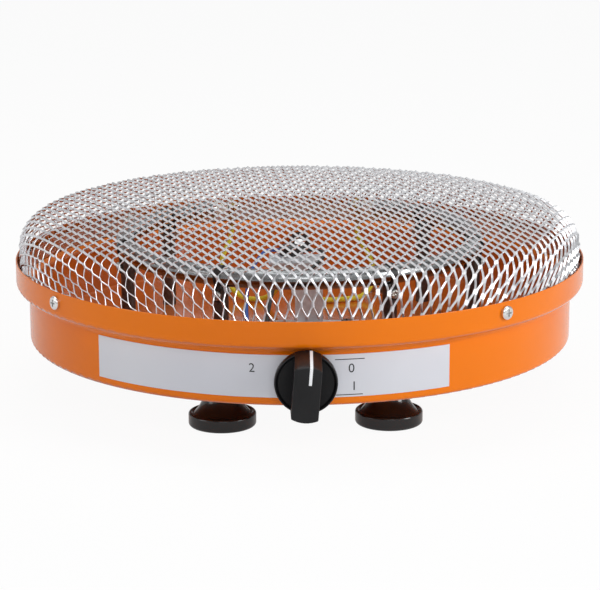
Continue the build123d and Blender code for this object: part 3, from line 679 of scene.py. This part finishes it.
def guard_tree(material):
    """The whole way from grids of points to the draped sheet, with its sizes as inputs."""
    tree = bpy.data.node_groups.new("expanded_metal", "GeometryNodeTree")
    face = tree.interface
    face.new_socket("Geometry", in_out="OUTPUT", socket_type="NodeSocketGeometry")
    for name, size in GUARD_SIZES.items():
        socket = face.new_socket(name, in_out="INPUT", socket_type="NodeSocketFloat")
        socket.default_value = size
    given = tree.nodes.new("NodeGroupInput")
    short, long, sheet, flat, shoulder, crown, sag, crumple, turn = (
        Value(tree, given.outputs[name]) for name in GUARD_SIZES
    )
    strands = tree.nodes.new("GeometryNodeObjectInfo")
    strands.inputs["Object"].default_value = pair
    stamps = {
        "Points": sheet_joints(tree, short, long, sheet),
        "Instance": Value(tree, strands.outputs["Geometry"]),
    }
    copies = add_node(tree, "GeometryNodeInstanceOnPoints", {}, stamps)
    laid = add_node(tree, "ShaderNodeCombineXYZ", {}, {"Z": turn})
    turned = add_node(tree, "GeometryNodeTransform", {}, {"Geometry": copies, "Rotation": laid})
    flat_mesh = add_node(tree, "GeometryNodeRealizeInstances", {}, {"Geometry": turned})
    draped = draped_place(tree, flat, shoulder, crown, sag, crumple)
    shaped = add_node(
        tree, "GeometryNodeSetPosition", {}, {"Geometry": flat_mesh, "Position": draped}
    )
    whole = add_node(tree, "GeometryNodeRealizeInstances", {}, {"Geometry": shaped})
    plated = {"Geometry": whole, "Material": material}
    painted = add_node(tree, "GeometryNodeSetMaterial", {}, plated)
    result = tree.nodes.new("NodeGroupOutput")
    tree.links.new(painted.socket, result.inputs[0])
    return tree


# %% [markdown]
# ### Running the tree
# A modifier's inputs are set by their identifiers. The evaluated result is then copied to a plain
# mesh, so that nothing downstream depends on the modifier.

# %% Plain mesh from a tree


def grow(name, tree, sizes):
    """Evaluates a tree on an empty mesh and returns the result as a plain object."""
    holder = bpy.data.objects.new("holder", bpy.data.meshes.new("holder"))
    bpy.context.scene.collection.objects.link(holder)
    modifier = holder.modifiers.new("grow", "NODES")
    modifier.node_group = tree
    identifiers = {
        item.name: item.identifier for item in tree.interface.items_tree if item.in_out == "INPUT"
    }
    for size_name, size in sizes.items():
        modifier[identifiers[size_name]] = size
    depsgraph = bpy.context.evaluated_depsgraph_get()
    data = bpy.data.meshes.new_from_object(holder.evaluated_get(depsgraph))
    holder.modifiers.clear()
    bpy.data.objects.remove(holder)
    data.name = name
    obj = bpy.data.objects.new(name, data)
    bpy.context.scene.collection.objects.link(obj)
    print(f"{name}: {len(data.vertices)} points, {len(data.polygons)} faces")
    return obj


STRAND_GRAIN = 0.04 * MM
guard_metal = metal(
    "plated_strands",
    (0.68, 0.69, 0.71),
    (0.84, 0.85, 0.88),
    0.22,
    0.18,
    420.0,
    1.0,
    depth=STRAND_GRAIN,
)
guard_mesh = grow("guard_mesh", guard_tree(guard_metal), GUARD_SIZES)
bpy.data.objects.remove(pair)
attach(guard_mesh, "heater")

# %% [markdown]
# ## Hem of the guard
# Below the rim of the pan the cut edge of the mesh is folded over a flat band, and the four
# screws pass through it. It is hidden from most sides, so a plain lathed band is enough, with its
# wall closed on all sides.

# %% Hem band
HEM_HEIGHT = 10.5 * MM
HEM_WALL = 0.8 * MM
LATHE_STEPS = 192


def lathe(name, profile):
    """Turns a closed profile of (radius, height) about the drum's axis."""
    mesh = bmesh.new()
    rings = []
    for step in range(LATHE_STEPS):
        angle = 2 * math.pi * step / LATHE_STEPS
        rings.append(
            [
                mesh.verts.new((r * math.sin(angle), DRUM_Y - r * math.cos(angle), h))
                for r, h in profile
            ]
        )
    count = len(profile)
    for here, there in zip(rings, rings[1:] + rings[:1]):
        for i in range(count):
            mesh.faces.new((here[i], here[(i + 1) % count], there[(i + 1) % count], there[i]))
    bmesh.ops.recalc_face_normals(mesh, faces=mesh.faces[:])
    data = bpy.data.meshes.new(name)
    mesh.to_mesh(data)
    mesh.free()
    obj = bpy.data.objects.new(name, data)
    bpy.context.scene.collection.objects.link(obj)
    return obj


hem_inside = FORMER_RADIUS - HEM_WALL
hem_high = GUARD_FOOT + HEM_HEIGHT
hem_profile = [
    (hem_inside, GUARD_FOOT),
    (FORMER_RADIUS, GUARD_FOOT),
    (FORMER_RADIUS, hem_high),
    (hem_inside, hem_high),
]
guard_hem = lathe("guard_hem", hem_profile)
guard_hem.data.materials.append(guard_metal)
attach(guard_hem, "heater")
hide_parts("guard")
print("hem band:", len(guard_hem.data.polygons), "faces")

# %% [markdown]
# ## Knob
# The knob is one moulding: a round skirt with a shallow dish, and a bar across it with a sloping
# nose. Real mouldings have soft edges that catch the light, so it is modelled again here from the
# same sizes, with bevels. It stands a few degrees past upright, as such a knob does when it rests
# in its off position. The bar is measured by its reach above and below the shaft, at its back, at
# the ridge where its slope begins and at its front.

# %% Knob sizes
KNOB_LEAN = math.radians(4.5)
SKIRT_RADIUS = (knob_high.x - knob_low.x) / 2
SKIRT_DEPTH = 6.5 * MM
SKIRT_DISH = 1.4 * MM
SKIRT_RIM = 1.4 * MM
BAR_WIDTH = 15.5 * MM
SKIRT_DRAFT = 0.3 * MM
SKIRT_TAPER = 0.2 * MM
DISH_DRAFT = 0.4 * MM
BAR_BACK = (18.1 * MM, 19.2 * MM)
BAR_RIDGE = (18.8 * MM, 19.0 * MM)
BAR_FRONT = (14.6 * MM, 17.8 * MM)
BAR_BACK_LEVEL = 0.2 * MM
BAR_RIDGE_LEVEL = 3.0 * MM
BAR_CROWN = 1.8 * MM
BAR_STEPS = 8
KNOB_SOFTNESS = 0.7 * MM
CIRCLE_STEPS = 96
knob_back = DRUM_Y - knob_high.y
knob_front = DRUM_Y - knob_low.y
OUT = Vector((-KNOB_AXIS.x, -KNOB_AXIS.y, 0))
knob_origin = Vector((0, DRUM_Y, KNOB_CENTRE.z)) + OUT * knob_back
print(f"skirt radius {SKIRT_RADIUS:.4f}, knob from {knob_back:.4f} to {knob_front:.4f}")

# %% [markdown]
# ### Modelled flat, then stood up
# The knob is drawn lying on its back, with Z out of the wall and Y up. One matrix then leans it
# and stands it on its shaft. A Bevel modifier rounds every hard edge, and the result is kept as a
# plain mesh whose smooth shading breaks only at edges that are still sharp.

# %% Knob helpers
BEVEL_FROM = math.radians(35)
SHARP_FROM = math.radians(40)
SIDE = Vector((-OUT.y, OUT.x, 0))
UP = Vector((0, 0, 1))
ON_THE_WALL = Matrix.Translation(knob_origin) @ Matrix((SIDE, UP, OUT)).transposed().to_4x4()


def object_from(name, mesh, material):
    """Turns a bmesh into an object with outward faces and one material."""
    bmesh.ops.remove_doubles(mesh, verts=mesh.verts[:], dist=1e-7)
    bmesh.ops.recalc_face_normals(mesh, faces=mesh.faces[:])
    data = bpy.data.meshes.new(name)
    mesh.to_mesh(data)
    mesh.free()
    data.materials.append(material)
    obj = bpy.data.objects.new(name, data)
    bpy.context.scene.collection.objects.link(obj)
    return obj


def soften(obj, width, place):
    """Bevels the hard edges, applies the modifier and puts the place into the mesh."""
    bevel = obj.modifiers.new("soft_edges", "BEVEL")
    bevel.width = width
    bevel.segments = 3
    bevel.limit_method = "ANGLE"
    bevel.angle_limit = BEVEL_FROM
    depsgraph = bpy.context.evaluated_depsgraph_get()
    data = bpy.data.meshes.new_from_object(obj.evaluated_get(depsgraph))
    obj.modifiers.clear()
    obj.data = data
    data.transform(place)
    data.shade_smooth()
    data.set_sharp_from_angle(angle=SHARP_FROM)


def loft(mesh, rings):
    """Joins rings of equal count with quads and caps both ends."""
    rows = [[mesh.verts.new(point) for point in ring] for ring in rings]
    count = len(rows[0])
    for lower, upper in zip(rows, rows[1:]):
        for i in range(count):
            mesh.faces.new((lower[i], lower[(i + 1) % count], upper[(i + 1) % count], upper[i]))
    mesh.faces.new(rows[0][::-1])
    mesh.faces.new(rows[-1])


def circle(radius, height):
    turns = [2 * math.pi * i / CIRCLE_STEPS for i in range(CIRCLE_STEPS)]
    return [Vector((radius * math.cos(t), radius * math.sin(t), height)) for t in turns]


def bar_ring(height, top, bottom):
    """The bar's outline at one height: straight sides and gently crowned ends."""
    half = BAR_WIDTH / 2
    steps = [half * (1 - 2 * i / BAR_STEPS) for i in range(BAR_STEPS + 1)]
    crown = [BAR_CROWN * (x / half) ** 2 for x in steps]
    upper = [Vector((x, top - fall, height)) for x, fall in zip(steps, crown)]
    lower = [Vector((-x, fall - bottom, height)) for x, fall in zip(steps, crown)]
    return upper + lower


# %% Knob piece
LEAN = Matrix.Rotation(-KNOB_LEAN, 4, "Z")
knob_depth = knob_front - knob_back
dish_level = SKIRT_DEPTH - SKIRT_DISH
rim_inside = SKIRT_RADIUS - SKIRT_RIM
knob_mesh = bmesh.new()
skirt_rings = [
    circle(SKIRT_RADIUS - SKIRT_DRAFT, 0.0),
    circle(SKIRT_RADIUS, SKIRT_DEPTH / 2),
    circle(SKIRT_RADIUS - SKIRT_TAPER, SKIRT_DEPTH),
    circle(rim_inside, SKIRT_DEPTH),
    circle(rim_inside - DISH_DRAFT, dish_level),
]
loft(knob_mesh, skirt_rings)
bar_rings = [
    bar_ring(BAR_BACK_LEVEL, *BAR_BACK),
    bar_ring(BAR_RIDGE_LEVEL, *BAR_RIDGE),
    bar_ring(knob_depth, *BAR_FRONT),
]
loft(knob_mesh, bar_rings)
knob_shell = object_from("knob_shell", knob_mesh, plastics["satin_black_knob"])
soften(knob_shell, KNOB_SOFTNESS, ON_THE_WALL @ LEAN)
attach(knob_shell, "knob_body")
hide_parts("knob")
print("knob:", len(knob_shell.data.polygons), "faces")

# %% [markdown]
# ### Pointer
# The white line is paint in a groove: it starts at the ridge of the bar, runs along the slope and
# ends a third of the way down the front. A thin strip follows the same path, a tenth of a
# millimetre proud. Each point of the path is a height above the shaft and a distance from the
# back of the knob.

# %% Pointer line
LINE_WIDTH = 1.7 * MM
LINE_LENGTH = 10.0 * MM
LINE_PROUD = 0.12 * MM
LINE_SHIFT = 1.6 * MM
LINE_SOFTNESS = 0.03 * MM
LINE_SUNK = 0.1 * MM
LINE_THICKNESS = 0.5 * MM
line_mesh = bmesh.new()
nose_top = BAR_FRONT[0] - LINE_SUNK
line_path = (
    (BAR_RIDGE[0] + LINE_PROUD - LINE_SUNK, BAR_RIDGE_LEVEL + 0.8 * MM),
    (nose_top + 0.45 * MM, knob_depth - 0.6 * MM),
    (nose_top - 0.15 * MM, knob_depth + LINE_PROUD / 2),
    (nose_top - 0.8 * MM, knob_depth + LINE_PROUD),
    (nose_top - LINE_LENGTH, knob_depth + LINE_PROUD),
)
inward = Vector((0, -LINE_THICKNESS, -LINE_THICKNESS))
half_line = Vector((LINE_WIDTH / 2, 0, 0))
line_rings = [
    [spot - half_line, spot + half_line, spot + half_line + inward, spot - half_line + inward]
    for spot in (Vector((0, *point)) for point in line_path)
]
loft(line_mesh, line_rings)
pointer_line = object_from("pointer_line", line_mesh, plastics["pointer_white"])
line_place = ON_THE_WALL @ LEAN @ Matrix.Translation((LINE_SHIFT, 0, 0))
soften(pointer_line, LINE_SOFTNESS, line_place)
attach(pointer_line, "knob_body")
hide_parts("pointer")
print("pointer line:", len(pointer_line.data.polygons), "faces")

# %% [markdown]
# ## Marks on the label
# The dial has three positions. Plain numbers and two short rules beside the knob show them. Each
# is made flat, given a hair of thickness, and then wrapped round the drum: its X becomes an
# angle. A place is a distance along the label from its middle and a height above the pan's floor,
# in millimetres.

# %% Mark helpers
MARK_SIZE = 7.5 * MM
MARK_DEPTH = 0.02 * MM
RULE_SIZE = (17.0 * MM, 0.5 * MM)
RULE_STEPS = 8
LABEL_RADIUS = (DRUM_Y - label_low.y) + MARK_DEPTH
DIAL_NUMBERS = (("2", -27.5, 22.5), ("0", 29.5, 22.0), ("1", 31.0, 11.4))
DIAL_RULES = ((28.5, 27.6), (27.5, 6.6))


def wrap(data, across, height):
    """Bends flat points round the drum at a distance across from its front line."""
    for vertex in data.vertices:
        x, y, z = vertex.co
        angle = math.asin((across + x) / LABEL_RADIUS)
        radius = LABEL_RADIUS + z
        vertex.co = (radius * math.sin(angle), DRUM_Y - radius * math.cos(angle), height + y)


def number_mesh(text):
    font = bpy.data.curves.new("number", "FONT")
    font.body = text
    font.size = MARK_SIZE
    font.extrude = MARK_DEPTH
    font.align_x = "CENTER"
    font.align_y = "CENTER"
    holder = bpy.data.objects.new("number", font)
    bpy.context.scene.collection.objects.link(holder)
    depsgraph = bpy.context.evaluated_depsgraph_get()
    data = bpy.data.meshes.new_from_object(holder.evaluated_get(depsgraph))
    bpy.data.objects.remove(holder)
    return data


def rule_mesh():
    mesh = bmesh.new()
    long, tall = RULE_SIZE
    steps = [long * (i / RULE_STEPS - 0.5) for i in range(RULE_STEPS + 1)]
    rings = [
        [
            Vector((x, -tall / 2, -MARK_DEPTH)),
            Vector((x, tall / 2, -MARK_DEPTH)),
            Vector((x, tall / 2, MARK_DEPTH)),
            Vector((x, -tall / 2, MARK_DEPTH)),
        ]
        for x in steps
    ]
    loft(mesh, rings)
    bmesh.ops.recalc_face_normals(mesh, faces=mesh.faces[:])
    data = bpy.data.meshes.new("rule")
    mesh.to_mesh(data)
    mesh.free()
    return data


# %% Marks piece
marks = [(number_mesh(text), across, height) for text, across, height in DIAL_NUMBERS]
marks += [(rule_mesh(), across, height) for across, height in DIAL_RULES]
marks_mesh = bmesh.new()
for data, across, height in marks:
    wrap(data, across * MM, pan_low.z + height * MM)
    marks_mesh.from_mesh(data)
dial_marks = object_from("dial_marks", marks_mesh, plastics["printing_ink"])
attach(dial_marks, "heater")
print("marks:", len(marks))

# %% [markdown]
# ## Camera
# The picture was taken from the front, about 14 degrees above the floor line, with a long lens.
# The numbers come from fitting the rim, the step below it and the base of the pan.

# %% Camera
CAMERA_ACROSS = 0.0002
CAMERA_BACK = 1.4541
CAMERA_HEIGHT = 0.4146
CAMERA_PITCH = math.radians(13.87)
CAMERA_ROLL = math.radians(-0.18)
LENS = 140.16
SENSOR_WIDTH = 36.0
camera_data = bpy.data.cameras.new("camera")
camera_data.lens = LENS
camera_data.sensor_width = SENSOR_WIDTH
camera_data.sensor_fit = "HORIZONTAL"
camera = bpy.data.objects.new("camera", camera_data)
bpy.context.scene.collection.objects.link(camera)
tilt = Matrix.Rotation(math.pi / 2 - CAMERA_PITCH, 4, "X")
roll = Matrix.Rotation(CAMERA_ROLL, 4, "Z")
stand = Matrix.Translation((CAMERA_ACROSS, DRUM_Y - CAMERA_BACK, CAMERA_HEIGHT))
camera.matrix_world = stand @ tilt @ roll
bpy.context.scene.camera = camera
print(f"camera {CAMERA_BACK} m in front of the drum, {CAMERA_HEIGHT} m up")

# %% [markdown]
# ## Floor and lights
# The floor is plain white and shows white to the camera. Large soft lamps on both sides, above
# and in front give the long soft highlights of a studio table, and the right one is stronger,
# which lets the left of the drum fall a little darker.

# %% Floor
FLOOR_HALF = 6.0
FLOOR_SHOWN = 0.94
FLOOR_MIRRORED = 0.55
FLOOR_GREY = (0.86, 0.86, 0.86, 1.0)
WHITE = (1.0, 1.0, 1.0, 1.0)
floor_data = bpy.data.meshes.new("floor")
floor_corners = [(a * FLOOR_HALF, b * FLOOR_HALF, 0) for a, b in SQUARE]
floor_data.from_pydata(floor_corners, [], [(0, 1, 2, 3)])
floor = bpy.data.objects.new("floor", floor_data)
bpy.context.scene.collection.objects.link(floor)


def floor_look():
    material = bpy.data.materials.new("floor_white")
    material.use_nodes = True
    tree = material.node_tree
    tree.nodes.clear()
    output = tree.nodes.new("ShaderNodeOutputMaterial")
    rays = tree.nodes.new("ShaderNodeLightPath")
    direct = Value(tree, rays.outputs["Is Camera Ray"])
    mirrored = Value(tree, rays.outputs["Is Glossy Ray"]) * FLOOR_MIRRORED
    seen = direct.function("MAXIMUM", mirrored) * FLOOR_SHOWN
    diffuse = add_node(tree, "ShaderNodeBsdfDiffuse", {}, {"Color": FLOOR_GREY})
    glow = add_node(tree, "ShaderNodeEmission", {}, {"Color": WHITE, "Strength": 1.0})
    mix = add_node(tree, "ShaderNodeMixShader", {}, {0: seen, 1: diffuse, 2: glow})
    tree.links.new(mix.socket, output.inputs["Surface"])
    return material


floor_data.materials.append(floor_look())

# %% Lamps
MIDDLE = Vector((0.0, DRUM_Y, 0.06))
LAMPS = (
    ("key_right", (1.6, -0.8, 0.7), (0.7, 0.9), 20.0),
    ("fill_left", (-1.6, -0.7, 0.8), (0.8, 1.0), 8.0),
    ("top", (0.0, 0.2, 1.5), (1.4, 1.2), 9.0),
    ("front", (0.1, -1.8, 1.1), (1.0, 0.6), 8.0),
)


def lamp(name, place, size, power):
    """A rectangular lamp of some width and height that looks at the middle of the heater."""
    data = bpy.data.lights.new(name, "AREA")
    data.shape = "RECTANGLE"
    data.size, data.size_y = size
    data.energy = power
    obj = bpy.data.objects.new(name, data)
    bpy.context.scene.collection.objects.link(obj)
    aim = (MIDDLE - Vector(place)).to_track_quat("-Z", "Y").to_matrix().to_4x4()
    obj.matrix_world = Matrix.Translation(place) @ aim


for row in LAMPS:
    lamp(*row)
print("lamps:", len(LAMPS))

# %% [markdown]
# ### What the metal mirrors
# In a plain white room every strand of the guard would be plain white. So the world shows white
# only to the camera. In reflections a slow noise over its directions stands for pale panels and
# the darker gaps between them, and for the rest it is a weak even light.

# %% World
PANEL_SCALE = 2.2
PANEL_EDGE = 0.42
PANEL_CONTRAST = 6.0
PANEL_DIM = 0.1
PANEL_BRIGHT = 0.9
EVEN_LIGHT = 0.24
world = bpy.data.worlds.new("studio")
bpy.context.scene.world = world
world.use_nodes = True
world.node_tree.nodes.clear()


def world_look(tree):
    output = tree.nodes.new("ShaderNodeOutputWorld")
    rays = tree.nodes.new("ShaderNodeLightPath")
    direct = Value(tree, rays.outputs["Is Camera Ray"])
    direction = add_node(tree, "ShaderNodeTexCoord", output="Generated")
    clouds = noise(tree, direction, PANEL_SCALE, 1.0)
    panels = ((clouds - PANEL_EDGE) * PANEL_CONTRAST).clamp(PANEL_DIM, PANEL_BRIGHT)
    mirrored = Value(tree, rays.outputs["Is Glossy Ray"]) * panels
    strength = direct.function("MAXIMUM", mirrored) * (1.0 - EVEN_LIGHT) + EVEN_LIGHT
    glow = add_node(tree, "ShaderNodeBackground", {}, {"Color": WHITE, "Strength": strength})
    tree.links.new(glow.socket, output.inputs["Surface"])


world_look(world.node_tree)
bpy.context.scene.view_settings.view_transform = "Standard"
print("world:", world.name)
